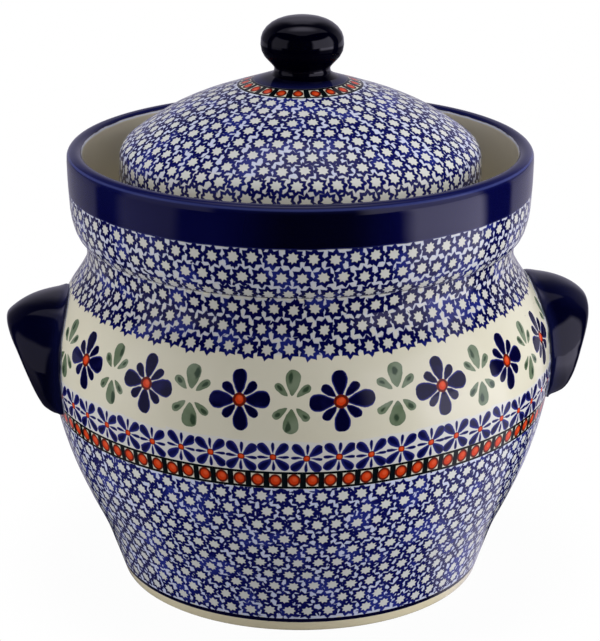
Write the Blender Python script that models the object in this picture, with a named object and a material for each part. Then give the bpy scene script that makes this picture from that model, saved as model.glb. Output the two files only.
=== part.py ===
"""Water-sealed fermentation crock: jar, collar, water channel, ear handles, lid with knob, two stones.

Metres, +Z up. The origin is the middle of the foot's underside, and the handles lie along X.
"""
import math

import bmesh
import bpy

# Mouth, collar and what nests round it, from the inside out
MOUTH_RADIUS = 0.0820
COLLAR_WALL = 0.0078
SKIRT_CLEARANCE = 0.0040
LID_WALL = 0.0074
SKIRT_FLARE = 0.0018
WATER_WIDTH = 0.0181
CHANNEL_WALL = 0.0092
CREASE_DEPTH = 0.0085

# Jar
FOOT_RADIUS = 0.1044
FOOT_RING_WIDTH = 0.0120
FOOT_RECESS = 0.0025
FOOT_ROUNDING = 0.0020
FLOOR_THICKNESS = 0.0110
BELLY_RADIUS = 0.1439
BELLY_HEIGHT = 0.1225
LEDGE_HEIGHT = 0.1984
LEDGE_THICKNESS = 0.0095
JAR_WALL = 0.0088
COLLAR_HEIGHT = 0.0480
INSIDE_ROUNDING = 0.0130
CEILING_ROUNDING = 0.0110
LIP_ROUNDING = 0.0034

# How the wall swells, as (share of the rise, share of the swelling)
FOOT_TO_BELLY = ((0.145, 0.150), (0.275, 0.292), (0.435, 0.520), (0.610, 0.735), (0.805, 0.905))
BELLY_TO_CREASE = ((0.300, 0.080), (0.450, 0.262), (0.590, 0.515), (0.740, 0.850), (0.860, 1.035))

# Water channel
CHANNEL_HEIGHT = 0.0511
CHANNEL_FILLET = 0.0060
CHANNEL_FOOT_EDGE = 0.0012
CREASE_TO_RIM = ((0.045, 0.260), (0.145, 0.580), (0.326, 0.830), (0.535, 0.920), (0.750, 0.977))

# Lid
LID_HEIGHT = 0.0938
SHOULDER_DROP = 0.0490
DOME_TO_SHOULDER = ((0.043, 0.140), (0.133, 0.277), (0.231, 0.420), (0.350, 0.579), (0.490, 0.726),
                    (0.640, 0.843), (0.780, 0.942), (0.871, 0.984), (0.949, 0.998))
SKIRT_EDGE_ROUNDING = 0.0015
NOTCH_COUNT = 4
NOTCH_HEIGHT = 0.0060

# Knob
KNOB_RADIUS = 0.0231
KNOB_HALF_HEIGHT = 0.0149
KNOB_RISE = 0.0146
KNOB_SQUARENESS = 2.25
KNOB_NECK_RADIUS = 0.0158
KNOB_FOOT_RADIUS = 0.0200
KNOB_FOOT_EDGE = 0.0012

# Ear handles, each an arch of thick clay on the belly
ARCH_HALF_WIDTH = 0.0445
ARCH_CENTRE_HEIGHT = 0.1270
ARCH_LEG_LENGTH = 0.0185
HANDLE_THICKNESS = 0.0120
HANDLE_REACH = 0.0174
HANDLE_DROOP = 0.0115
HANDLE_DROOP_POWER = 1.8
HANDLE_SLANT = 0.5400
HANDLE_STEPS = 18
LEG_TAPER = ((1.00, 0.55), (0.70, 0.80), (0.35, 0.95))

# Pressing stones
STONE_CLEARANCE = 0.0020
STONE_THICKNESS = 0.0180
STONE_SPLIT = 0.0040
STONE_HOLE_RADIUS = 0.0115
STONE_HOLE_PLACE = 0.4200
STONE_ROUNDING = 0.0030

GAP = 0.0003
TURN_STEPS = 60
KNOB_STEPS = 36

# Sizes that follow from the ones above
COLLAR_RADIUS = MOUTH_RADIUS + COLLAR_WALL
SKIRT_INNER = COLLAR_RADIUS + SKIRT_CLEARANCE
SKIRT_OUTER = SKIRT_INNER + LID_WALL
CHANNEL_INNER = SKIRT_OUTER + SKIRT_FLARE + WATER_WIDTH
CHANNEL_OUTER = CHANNEL_INNER + CHANNEL_WALL
CREASE_RADIUS = CHANNEL_OUTER - CREASE_DEPTH
ON_LEDGE = LEDGE_HEIGHT + GAP
CHANNEL_TOP = ON_LEDGE + CHANNEL_HEIGHT
LID_TOP = ON_LEDGE + LID_HEIGHT
KNOB_CENTRE = LID_TOP + KNOB_RISE
JAR_FLOOR = FOOT_RECESS + FLOOR_THICKNESS
CEILING = LEDGE_HEIGHT - LEDGE_THICKNESS
COLLAR_TOP = ON_LEDGE + COLLAR_HEIGHT


def clear_scene():
    for thing in list(bpy.data.objects):
        bpy.data.objects.remove(thing, do_unlink=True)


def glaze(name, colour, roughness):
    material = bpy.data.materials.new(name)
    material.use_nodes = True
    shader = material.node_tree.nodes["Principled BSDF"]
    shader.inputs["Base Color"].default_value = (*colour, 1.0)
    shader.inputs["Roughness"].default_value = roughness
    shader.inputs["Metallic"].default_value = 0.0
    material.diffuse_color = (*colour, 1.0)
    return material


def smooth_curve(points, steps=2):
    """Points along a Catmull-Rom curve that passes through the given (radius, height) points."""
    ends = [points[0]] + list(points) + [points[-1]]
    curve = [points[0]]
    for before, start, stop, after in zip(ends, ends[1:], ends[2:], ends[3:]):
        for step in range(1, steps + 1):
            t = step / steps
            curve.append(tuple(
                0.5 * (2 * b + (c - a) * t + (2 * a - 5 * b + 4 * c - d) * t * t + (3 * b - a - 3 * c + d) * t ** 3)
                for a, b, c, d in zip(before, start, stop, after)))
    return curve


def arc(centre, radius, first, last, steps):
    """Points on a circle in the (radius, height) plane, from one angle in degrees to another."""
    return [(centre[0] + radius * math.cos(math.radians(first + (last - first) * i / steps)),
             centre[1] + radius * math.sin(math.radians(first + (last - first) * i / steps)))
            for i in range(steps + 1)]


def between(start, stop, shares):
    """Points from start to stop whose height and radius follow the given shares."""
    middle = [(start[0] + (stop[0] - start[0]) * swell, start[1] + (stop[1] - start[1]) * rise)
              for rise, swell in shares]
    return [start] + middle + [stop]


def inset(curve, thickness):
    """The curve moved towards the axis side by a wall thickness, square to itself."""
    moved = []
    for i, (radius, height) in enumerate(curve):
        before = curve[max(i - 1, 0)]
        after = curve[min(i + 1, len(curve) - 1)]
        run = (after[0] - before[0], after[1] - before[1])
        length = math.hypot(*run)
        moved.append((radius - thickness * run[1] / length, height + thickness * run[0] / length))
    return moved


def radius_at(curve, height):
    """Radius of a rising curve at a height."""
    for (r0, z0), (r1, z1) in zip(curve, curve[1:]):
        if z0 <= height <= z1:
            return r0 + (r1 - r0) * (height - z0) / (z1 - z0)
    return curve[-1][0] if height > curve[-1][1] else curve[0][0]


def height_at(curve, radius):
    """Height of a curve that falls as its radius grows, at a radius."""
    for (r0, z0), (r1, z1) in zip(curve, curve[1:]):
        if r0 <= radius <= r1:
            return z0 + (z1 - z0) * (radius - r0) / (r1 - r0)
    return curve[-1][1]


def rounded(corners, steps=2):
    """An outline whose corners, given as (radius, height, rounding), are turned into arcs."""
    outline = []
    for i, (radius, height, rounding) in enumerate(corners):
        if not rounding or i in (0, len(corners) - 1):
            outline.append((radius, height))
            continue
        back = (corners[i - 1][0] - radius, corners[i - 1][1] - height)
        ahead = (corners[i + 1][0] - radius, corners[i + 1][1] - height)
        back_length = math.hypot(*back)
        ahead_length = math.hypot(*ahead)
        back = (back[0] / back_length, back[1] / back_length)
        ahead = (ahead[0] / ahead_length, ahead[1] / ahead_length)
        opening = math.acos(max(-1.0, min(1.0, back[0] * ahead[0] + back[1] * ahead[1])))
        tangent = min(rounding / math.tan(opening / 2), 0.48 * back_length, 0.48 * ahead_length)
        reach = tangent * math.tan(opening / 2)
        middle = (back[0] + ahead[0], back[1] + ahead[1])
        middle_length = math.hypot(*middle)
        away = reach / math.sin(opening / 2) / middle_length
        centre = (radius + middle[0] * away, height + middle[1] * away)
        start = (radius + back[0] * tangent - centre[0], height + back[1] * tangent - centre[1])
        stop = (radius + ahead[0] * tangent - centre[0], height + ahead[1] * tangent - centre[1])
        turn = math.atan2(start[0] * stop[1] - start[1] * stop[0], start[0] * stop[0] + start[1] * stop[1])
        for step in range(steps + 1):
            angle = turn * step / steps
            outline.append((centre[0] + start[0] * math.cos(angle) - start[1] * math.sin(angle),
                            centre[1] + start[0] * math.sin(angle) + start[1] * math.cos(angle)))
    return outline


def plain(points):
    """Curve points as corners without rounding."""
    return [(radius, height, 0.0) for radius, height in points]


def finish(name, bm, material, sharp_angle=35.0):
    """Turn a bmesh into a named, smooth-shaded object with its faces pointing out."""
    bmesh.ops.recalc_face_normals(bm, faces=bm.faces)
    mesh = bpy.data.meshes.new(name)
    bm.to_mesh(mesh)
    bm.free()
    mesh.materials.append(material)
    mesh.shade_smooth()
    mesh.set_sharp_from_angle(angle=math.radians(sharp_angle))
    thing = bpy.data.objects.new(name, mesh)
    bpy.context.collection.objects.link(thing)
    return thing


def turned(outline, steps, closed=False):
    """Spin a (radius, height) outline round the Z axis."""
    bm = bmesh.new()
    verts = [bm.verts.new((radius, 0.0, height)) for radius, height in outline]
    edges = [bm.edges.new(pair) for pair in zip(verts, verts[1:])]
    if closed:
        edges.append(bm.edges.new((verts[-1], verts[0])))
    bmesh.ops.spin(bm, geom=verts + edges, cent=(0, 0, 0), axis=(0, 0, 1), angle=math.tau, steps=steps,
                   use_merge=True)
    bmesh.ops.remove_doubles(bm, verts=bm.verts, dist=1e-5)
    return bm


def body_curve(steps=2):
    """Outer wall of the jar from the foot up to the crease under the water channel."""
    foot = (FOOT_RADIUS, 0.0)
    belly = (BELLY_RADIUS, BELLY_HEIGHT)
    crease = (CREASE_RADIUS, LEDGE_HEIGHT)
    stations = between(foot, belly, FOOT_TO_BELLY) + between(belly, crease, BELLY_TO_CREASE)[1:]
    return smooth_curve(stations, steps)


def inner_wall():
    return inset(body_curve(1), JAR_WALL)


def build_jar(material):
    outer = body_curve()
    inner = inner_wall()
    ring_inside = FOOT_RADIUS - FOOT_RING_WIDTH
    corners = [(0.0, JAR_FLOOR, 0.0), (radius_at(inner, JAR_FLOOR), JAR_FLOOR, INSIDE_ROUNDING)]
    corners += plain(point for point in inner
                     if JAR_FLOOR + INSIDE_ROUNDING < point[1] < CEILING - CEILING_ROUNDING)
    corners += [
        (CREASE_RADIUS - JAR_WALL, CEILING, CEILING_ROUNDING),
        (MOUTH_RADIUS, CEILING, LIP_ROUNDING),
        (MOUTH_RADIUS, LEDGE_HEIGHT, 0.0)]
    corners += plain(reversed(outer[1:]))
    corners += [
        (FOOT_RADIUS, 0.0, FOOT_ROUNDING),
        (ring_inside, 0.0, 0.0),
        (ring_inside - FOOT_RECESS, FOOT_RECESS, 0.0),
        (0.0, FOOT_RECESS, 0.0)]
    return finish("jar", turned(rounded(corners), TURN_STEPS), material)


def build_collar(material):
    """Ring on the ledge round the mouth, which keeps the water out of the jar."""
    corners = [
        (MOUTH_RADIUS, ON_LEDGE, 0.0),
        (MOUTH_RADIUS, COLLAR_TOP, LIP_ROUNDING),
        (COLLAR_RADIUS, COLLAR_TOP, LIP_ROUNDING),
        (COLLAR_RADIUS, ON_LEDGE, 0.0)]
    return finish("collar", turned(rounded(corners), TURN_STEPS, closed=True), material)


def build_water_channel(material):
    """Outer wall of the water channel, with its rolled rim and a fillet down to the ledge."""
    rim_radius = CHANNEL_WALL / 2
    rim = arc((CHANNEL_INNER + rim_radius, CHANNEL_TOP - rim_radius), rim_radius, 180, 0, 6)
    outside = smooth_curve(between((CREASE_RADIUS, ON_LEDGE), rim[-1], CREASE_TO_RIM), 1)
    fillet_centre = (CHANNEL_INNER - CHANNEL_FILLET, ON_LEDGE + CHANNEL_FOOT_EDGE + CHANNEL_FILLET)
    fillet = arc(fillet_centre, CHANNEL_FILLET, -90, 0, 3)
    outline = rim + outside[-2::-1] + [(fillet_centre[0], ON_LEDGE)] + fillet
    return finish("water_channel", turned(outline, TURN_STEPS, closed=True), material)


def dome_curve():
    """Outside of the lid from its middle out to the shoulder."""
    shoulder = (SKIRT_OUTER, LID_TOP - SHOULDER_DROP)
    return smooth_curve(between((0.0, LID_TOP), shoulder, DOME_TO_SHOULDER), 1)


def build_lid(material):
    dome = dome_curve()
    under = [(radius, height) for radius, height in inset(list(reversed(dome)), LID_WALL)
             if radius < SKIRT_INNER - LID_WALL / 2][:-1]
    skirt_foot = SKIRT_OUTER + SKIRT_FLARE
    corners = plain(dome) + [
        (skirt_foot, ON_LEDGE, SKIRT_EDGE_ROUNDING),
        (skirt_foot - LID_WALL, ON_LEDGE, SKIRT_EDGE_ROUNDING),
        (SKIRT_INNER, LID_TOP - SHOULDER_DROP, 0.0)]
    corners += plain(under) + [(0.0, LID_TOP - LID_WALL, 0.0)]
    bm = turned(rounded(corners), TURN_STEPS)
    cut_gas_notches(bm)
    return finish("lid", bm, material)


def cut_gas_notches(bm):
    """Lift the skirt's lower edge at a few places, so that gas can bubble out through the water."""
    pitch = TURN_STEPS // NOTCH_COUNT
    for vert in bm.verts:
        step = round(math.atan2(vert.co.y, vert.co.x) / math.tau * TURN_STEPS) % TURN_STEPS
        if vert.co.z < ON_LEDGE + 2 * SKIRT_EDGE_ROUNDING and step % pitch in (pitch // 2, pitch // 2 + 1):
            vert.co.z += NOTCH_HEIGHT


def knob_ball(angle):
    """A point of the knob's slightly squared ball, at an angle from its top."""
    power = 2 / KNOB_SQUARENESS
    rise = math.copysign(abs(math.cos(angle)) ** power, math.cos(angle))
    return (KNOB_RADIUS * math.sin(angle) ** power, KNOB_CENTRE + KNOB_HALF_HEIGHT * rise)


def build_knob(material):
    dome = dome_curve()
    ball = [(0.0, KNOB_CENTRE + KNOB_HALF_HEIGHT)] + [knob_ball(math.radians(12 * step)) for step in range(1, 11)]
    foot_seat = height_at(dome, KNOB_FOOT_RADIUS) + GAP
    neck_height = 0.6 * foot_seat + 0.4 * ball[-1][1]
    flare = KNOB_NECK_RADIUS + 0.3 * (KNOB_FOOT_RADIUS - KNOB_NECK_RADIUS)
    neck = [(KNOB_NECK_RADIUS, neck_height),
            (flare, foot_seat + 2 * KNOB_FOOT_EDGE),
            (KNOB_FOOT_RADIUS, foot_seat + KNOB_FOOT_EDGE)]
    seat = [(radius, height + GAP) for radius, height in reversed(dome) if radius < KNOB_FOOT_RADIUS]
    return finish("lid_knob", turned(ball + neck + [(KNOB_FOOT_RADIUS, foot_seat)] + seat, KNOB_STEPS), material)


def arch_stations():
    """Stations along the arch as (centre height, direction away from the centre in Y and Z, size)."""
    leg = [(ARCH_CENTRE_HEIGHT - share * ARCH_LEG_LENGTH, size) for share, size in LEG_TAPER]
    turns = [math.pi * step / HANDLE_STEPS for step in range(HANDLE_STEPS + 1)]
    arch = [(ARCH_CENTRE_HEIGHT, (math.cos(turn), math.sin(turn)), 1.0) for turn in turns]
    return ([(height, (1.0, 0.0), size) for height, size in leg] + arch
            + [(height, (-1.0, 0.0), size) for height, size in reversed(leg)])


def never_negative(value, softness):
    """The value where it is well above zero, easing to zero below."""
    return (value + math.hypot(value, softness)) / 2


def handle_section(wall, centre_height, away, size):
    """One closed loop across the clay strap, from the wall out round its thick free edge and back."""

    def on_wall(distance):
        side = away[0] * distance
        height = centre_height + away[1] * distance
        return math.sqrt((radius_at(wall, height) + GAP) ** 2 - side ** 2)

    def place(out, distance):
        clear = max(out, on_wall(distance))
        return (clear, away[0] * distance, centre_height + away[1] * distance)

    half = HANDLE_THICKNESS / 2
    middle = ARCH_HALF_WIDTH - half
    start = on_wall(middle)
    tip = BELLY_RADIUS + HANDLE_REACH
    full_reach = tip - radius_at(wall, ARCH_CENTRE_HEIGHT + middle)
    slant_start = ARCH_CENTRE_HEIGHT + middle - HANDLE_DROOP

    def droop(reach):
        return HANDLE_DROOP * (reach / full_reach) ** HANDLE_DROOP_POWER

    reach = full_reach
    for _ in range(6):
        below = slant_start - centre_height - away[1] * (middle - droop(reach))
        free = tip - HANDLE_SLANT * never_negative(below, half) - start
        reach = never_negative(free, half)
    reach *= size
    half *= size
    outer_side = []
    inner_side = []
    for share in (0.36, 0.70, 1.0):
        slope = HANDLE_DROOP_POWER * droop(share * reach) / (share * reach)
        length = math.hypot(1.0, slope)
        lean = (slope / length, 1.0 / length)
        distance = middle - droop(share * reach)
        outer_side.append(place(start + share * reach + half * lean[0], distance + half * lean[1]))
        inner_side.append(place(start + share * reach - half * lean[0], distance - half * lean[1]))
    distance = middle - droop(reach)
    edge = []
    for angle in (math.radians(36 * step) for step in range(1, 5)):
        along = (math.sin(angle), math.cos(angle))
        edge.append(place(start + reach + half * (lean[0] * along[1] + lean[1] * along[0]),
                          distance + half * (lean[1] * along[1] - lean[0] * along[0])))
    root = [place(on_wall(middle + half * share), middle + half * share) for share in (-1.0, -0.35, 0.35, 1.0)]
    return root[1:] + outer_side + edge + list(reversed(inner_side)) + root[:1]


def build_handle(name, side, material):
    """Loft the strap along its arch; side is -1 for the left handle and 1 for the right one."""
    wall = body_curve()
    bm = bmesh.new()
    loops = []
    for station in arch_stations():
        section = handle_section(wall, *station)
        loops.append([bm.verts.new((side * x, side * y, z)) for x, y, z in section])
    for before, after in zip(loops, loops[1:]):
        for i in range(len(before)):
            j = (i + 1) % len(before)
            bm.faces.new((before[i], before[j], after[j], after[i]))
    bm.faces.new(loops[0])
    bm.faces.new(list(reversed(loops[-1])))
    return finish(name, bm, material, 50.0)


def build_stone(name, side, material):
    """Half-moon stone with a finger hole; side is -1 for the left stone and 1 for the right one."""
    radius = radius_at(inner_wall(), JAR_FLOOR) - INSIDE_ROUNDING - STONE_CLEARANCE
    base = JAR_FLOOR + GAP
    half_angle = math.acos(STONE_SPLIT / 2 / radius)
    bm = bmesh.new()
    rim = [bm.verts.new((side * radius * math.cos(angle), radius * math.sin(angle), base))
           for angle in (half_angle * (step / 10 - 1) for step in range(21))]
    face = bm.faces.new(rim)
    raised = bmesh.ops.extrude_face_region(bm, geom=[face])
    lifted = [item for item in raised["geom"] if isinstance(item, bmesh.types.BMVert)]
    bmesh.ops.translate(bm, verts=lifted, vec=(0, 0, STONE_THICKNESS))
    bmesh.ops.recalc_face_normals(bm, faces=bm.faces)
    long_edges = [edge for edge in bm.edges if len(edge.link_faces) == 2 and edge.calc_face_angle() > 1.0]
    bmesh.ops.bevel(bm, geom=long_edges, offset=STONE_ROUNDING, segments=2, profile=0.5, affect="EDGES")
    stone = finish(name, bm, material)
    bpy.ops.mesh.primitive_cylinder_add(
        vertices=20, radius=STONE_HOLE_RADIUS, depth=2 * STONE_THICKNESS,
        location=(side * radius * STONE_HOLE_PLACE, 0.0, base + STONE_THICKNESS / 2))
    cutter = bpy.context.object
    cutter.name = name + "_hole_cutter"
    cutter.hide_render = True
    cutter.display_type = "WIRE"
    hole = stone.modifiers.new("finger hole", "BOOLEAN")
    hole.operation = "DIFFERENCE"
    hole.solver = "EXACT"
    hole.object = cutter
    return stone


def build_crock():
    clear_scene()
    body_glaze = glaze("cream_glaze", (0.72, 0.68, 0.58), 0.25)
    cobalt = glaze("cobalt_glaze", (0.020, 0.018, 0.110), 0.12)
    star_glaze = glaze("blue_white_glaze", (0.33, 0.34, 0.52), 0.20)
    stoneware = glaze("stoneware_glaze", (0.62, 0.58, 0.50), 0.35)
    build_jar(body_glaze)
    build_collar(body_glaze)
    build_water_channel(cobalt)
    build_lid(star_glaze)
    build_knob(cobalt)
    for name, side in (("left", -1), ("right", 1)):
        build_handle("handle_" + name, side, cobalt)
        build_stone("weight_" + name, side, stoneware)


build_crock()
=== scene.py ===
"""Dressed model of a water-sealed fermentation crock in painted stoneware, and the studio it stands in."""
import cmath
import math

import bpy
import numpy as np
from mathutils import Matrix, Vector


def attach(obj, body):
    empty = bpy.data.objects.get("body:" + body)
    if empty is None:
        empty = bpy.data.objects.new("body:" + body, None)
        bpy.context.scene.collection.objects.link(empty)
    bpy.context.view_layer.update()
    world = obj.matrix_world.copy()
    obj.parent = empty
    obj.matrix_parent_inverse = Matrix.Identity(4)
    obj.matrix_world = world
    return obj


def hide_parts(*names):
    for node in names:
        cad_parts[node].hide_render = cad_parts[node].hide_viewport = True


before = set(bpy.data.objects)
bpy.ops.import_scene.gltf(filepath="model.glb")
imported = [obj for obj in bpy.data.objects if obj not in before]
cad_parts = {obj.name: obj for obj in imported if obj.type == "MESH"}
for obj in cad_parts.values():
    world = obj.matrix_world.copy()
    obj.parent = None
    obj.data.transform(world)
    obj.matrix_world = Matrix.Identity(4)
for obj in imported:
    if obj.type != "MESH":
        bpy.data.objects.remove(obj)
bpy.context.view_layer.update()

# Studio
CAMERA_DISTANCE = 1.1963
CAMERA_TURN = math.radians(6.0)
CAMERA_PITCH = math.radians(18.755)
CAMERA_AIM = 0.1454
CAMERA_LENS = 132.0
CAMERA_SHIFT = -0.0005
SOFTBOXES = (("softbox_left", (-1.80, 0.12, 0.46), (1.3, 1.1), 21.5),
             ("softbox_right", (1.71, -0.56, 0.58), (1.3, 1.3), 33.0),
             ("softbox_top", (0.0, 0.45, 1.80), (1.0, 0.8), 11.0))
SOFTBOX_AIM = 0.15
WORLD_STRENGTH = 0.29
PAPER_TINT = 0.62
PAPER_GLOW = 0.972
# What the glaze mirrors, by direction round the pot in degrees from the camera: from, to, brightness
MIRRORED_BOXES = ((-92, -42, 0.42), (30, 95, 1.12))
MIRRORED_PAPER = ((-92, -58, 0.22), (50, 94, 1.55))
BACKDROP_EDGES = ((115, 121), (-108, -114))
MIRRORED_ROOM = 0.012
MIRRORED_TINT = (0.84, 0.80, 1.0, 1.0)
WHITE = (1.0, 1.0, 1.0, 1.0)
FLOOR_SIZE = 6.0
FLOOR_TOP = -0.0002

# Jar, in metres as thrown
FOOT_RADIUS = 0.1036
FOOT_RING_WIDTH = 0.0120
FOOT_RECESS = 0.0025
FOOT_ROUNDING = 0.0020
FLOOR_THICKNESS = 0.0110
BELLY_RADIUS = 0.1436
BELLY_HEIGHT = 0.1225
LEDGE_HEIGHT = 0.1984
LEDGE_THICKNESS = 0.0095
JAR_WALL = 0.0088
CREASE_RADIUS = 0.1214
MOUTH_RADIUS = 0.0820
INSIDE_ROUNDING = 0.0130
CEILING_ROUNDING = 0.0110
LIP_ROUNDING = 0.0034
LONGEST_ROUNDING = 0.48
# Curves between two points, as shares of the rise and of the swell
FOOT_TO_BELLY = ((0.145, 0.150), (0.275, 0.292), (0.435, 0.520), (0.610, 0.735), (0.805, 0.905))
BELLY_TO_CREASE = ((0.300, 0.080), (0.450, 0.262), (0.590, 0.515), (0.740, 0.850), (0.860, 1.035))

# Collar and water channel
ON_LEDGE = 0.1987
SEAM_OVERLAP = 0.0001
COLLAR_RADIUS = 0.0898
COLLAR_TOP = 0.2467
CHANNEL_INNER = 0.1211
CHANNEL_OUTER = 0.1303
CHANNEL_TOP = 0.2498
CHANNEL_FILLET = 0.0060
CHANNEL_FOOT_EDGE = 0.0012
CREASE_TO_RIM = ((0.045, 0.260), (0.145, 0.580), (0.326, 0.830), (0.535, 0.920), (0.750, 0.977))

# Lid and knob
LID_TOP = 0.2925
LID_WALL = 0.0074
SHOULDER_HEIGHT = 0.2435
SKIRT_OUTER = 0.1012
SKIRT_FLARE = 0.0018
SKIRT_EDGE_ROUNDING = 0.0015
NOTCH_COUNT = 4
NOTCH_HEIGHT = 0.0060
NOTCH_HALF_ANGLE = math.radians(3.0)
DOME_TO_SHOULDER = ((0.043, 0.140), (0.133, 0.277), (0.231, 0.420), (0.350, 0.579), (0.490, 0.726),
                    (0.640, 0.843), (0.780, 0.942), (0.871, 0.984), (0.949, 0.998))
KNOB_RADIUS = 0.0231
KNOB_HALF_HEIGHT = 0.0149
KNOB_CENTRE = 0.3071
KNOB_SQUARENESS = 2.25
KNOB_NECK = ((0.0172, 0.2958), (0.0157, 0.2938), (0.0157, 0.2918), (0.0168, 0.2902), (0.0200, 0.2884))
KNOB_UNDERSIDE = (0.2945, 0.3068)
KNOB_LEAN = 0.0011

# Wheel
WHEEL_STEPS = 192
RING_SPACING = 0.0032
RING_TURN = math.radians(14.0)
RING_ROOM = 0.0004
SEAM = math.radians(84.0)

# Handles: how the roots meet the wall, how the ears narrow, and how far the clay of each is pulled
ROOT_HOLD = 0.0016
ROOT_SINK = 0.0006
ROOT_BLEND = 0.006
EAR_REACH = 0.036
EAR_TAPER = 0.30
PULL_HEIGHTS = (0.1085, 0.1120, 0.1160, 0.1210, 0.1270, 0.1340, 0.1420, 0.1500, 0.1580, 0.1640, 0.1705)
# millimetres outwards and upwards at each height
HANDLE_PULLS = {
    "left": ((2.8, 2.2), (2.8, 0.3), (2.5, -0.2), (2.1, -0.3), (1.6, -0.1), (1.2, 0.0), (0.7, -0.2),
             (0.7, -0.9), (1.0, -1.4), (-1.0, -0.3), (-6.0, -1.6)),
    "right": ((-7.0, 0.8), (-1.5, -1.7), (1.5, -2.4), (2.2, -1.9), (1.9, -1.0), (1.2, -0.4), (0.7, -0.2),
              (0.4, -0.3), (0.4, -0.7), (1.3, -0.5), (1.3, -1.0))}

# Stars: cells, shape, how far each strays by hand, the rows' slips round the wall, and their places up it
STAR_PITCH = 0.0106
STAR_CELL = 0.0184
STAR_TIP = 0.00488
STAR_NOTCH = 0.00335
STAR_LINE = 0.00172
STAR_SWAY = 0.0013
STAR_TURN = 0.45
STAR_SLIPS = (0.42, 0.12, 0.67, 0.37, 0.92, 0.60, 0.16, 0.84, 0.34, 0.08)
JAR_STAR_ROWS = [0.0151 + 0.00960 * row for row in range(10)] + [0.1831, 0.1938, 0.2045]
CHANNEL_STAR_ROWS = [0.0042, 0.0154, 0.0260]
LID_STAR_ROWS = [0.0418 + 0.0093 * row for row in range(11)]

# Painted bands: distances along the walls, radii where the bands run, and how many stamps go round
BAND_CLIMB = 0.0020
BAND_LEAN = 0.0016
LOWER_STARS_END = 0.1080
UPPER_STARS_START = 0.1805
FOOT_LINE = (0.0066, 0.0093)
BARE_FOOT_TOP = 0.0065
FRIEZE_RADIUS = 0.1410
BLOSSOMS = 17
DAISY_RADIUS = 0.1437
DAISIES = 53
JAR_CHAIN_RADIUS = 0.1416
JAR_DOTS = 93
LID_CHAIN_RADIUS = 0.0304
LID_DOTS = 21
LID_COBALT_END = 0.0268
LID_SHOULDER = 0.1010
COBALT_FROM = 0.0310
COBALT_TO = 0.0606
RIM_CREST = 0.0557
RIM_EDGE = 0.0519
RIM_EDGE_HALF = 0.0006
# share of the way round that faces the camera
FRONT = 0.51
LID_PAINTED_TO = 0.1600
PLAIN_PAINTED_TO = 0.05

# Bake layout, in shares of its width and height
BAKE_MARGIN = 0.004
STRIP_FOOT = 0.006
STRIP_STEP = 0.43
STRIP_HEIGHT = 0.42
REST_FOOT = 0.872
REST_HEIGHT = 0.120

MM = 0.001


def smooth_curve(points, steps):
    """Points along a Catmull-Rom curve through the given points."""
    ends = [points[0]] + list(points) + [points[-1]]
    curve = [points[0]]
    for before, start, stop, after in zip(ends, ends[1:], ends[2:], ends[3:]):
        for step in range(1, steps + 1):
            t = step / steps
            curve.append(tuple(
                0.5 * (2 * b + (c - a) * t + (2 * a - 5 * b + 4 * c - d) * t * t
                       + (3 * b - a - 3 * c + d) * t ** 3)
                for a, b, c, d in zip(before, start, stop, after)))
    return curve


def arc(centre, radius, first, last, steps):
    """Points on a circle in the (radius, height) plane, from one angle in degrees to another."""
    return [(centre[0] + radius * math.cos(math.radians(first + (last - first) * i / steps)),
             centre[1] + radius * math.sin(math.radians(first + (last - first) * i / steps)))
            for i in range(steps + 1)]


def between(start, stop, shares):
    """Points from start to stop whose height and radius follow the given shares."""
    middle = [(start[0] + (stop[0] - start[0]) * swell, start[1] + (stop[1] - start[1]) * rise)
              for rise, swell in shares]
    return [start] + middle + [stop]


def inset(curve, thickness):
    """The curve moved towards the axis side by a wall thickness, square to itself."""
    moved = []
    for i, (radius, height) in enumerate(curve):
        before = curve[max(i - 1, 0)]
        after = curve[min(i + 1, len(curve) - 1)]
        run = (after[0] - before[0], after[1] - before[1])
        length = math.hypot(*run)
        moved.append((radius - thickness * run[1] / length, height + thickness * run[0] / length))
    return moved


def radius_at(curve, height):
    """Radius of a rising curve at a height."""
    for (r0, z0), (r1, z1) in zip(curve, curve[1:]):
        if z0 <= height <= z1:
            return r0 + (r1 - r0) * (height - z0) / (z1 - z0)
    return curve[-1][0] if height > curve[-1][1] else curve[0][0]


def rounded(corners, steps=6):
    """An outline whose corners, given as (radius, height, rounding), are turned into arcs."""
    outline = []
    for i, (radius, height, rounding) in enumerate(corners):
        if not rounding or i in (0, len(corners) - 1):
            outline.append((radius, height))
            continue
        corner = complex(radius, height)
        back = complex(*corners[i - 1][:2]) - corner
        ahead = complex(*corners[i + 1][:2]) - corner
        longest = LONGEST_ROUNDING * min(abs(back), abs(ahead))
        back /= abs(back)
        ahead /= abs(ahead)
        opening = abs(cmath.phase(ahead / back))
        tangent = min(rounding / math.tan(opening / 2), longest)
        middle = (back + ahead) / abs(back + ahead)
        centre = corner + middle * tangent / math.cos(opening / 2)
        start = corner + back * tangent - centre
        turn = cmath.phase((corner + ahead * tangent - centre) / start)
        for step in range(steps + 1):
            point = centre + start * cmath.rect(1.0, turn * step / steps)
            outline.append((point.real, point.imag))
    return outline


def run_lengths(curve):
    """Distance along the curve at each of its points."""
    lengths = [0.0]
    for (r0, z0), (r1, z1) in zip(curve, curve[1:]):
        lengths.append(lengths[-1] + math.hypot(r1 - r0, z1 - z0))
    return lengths


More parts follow.
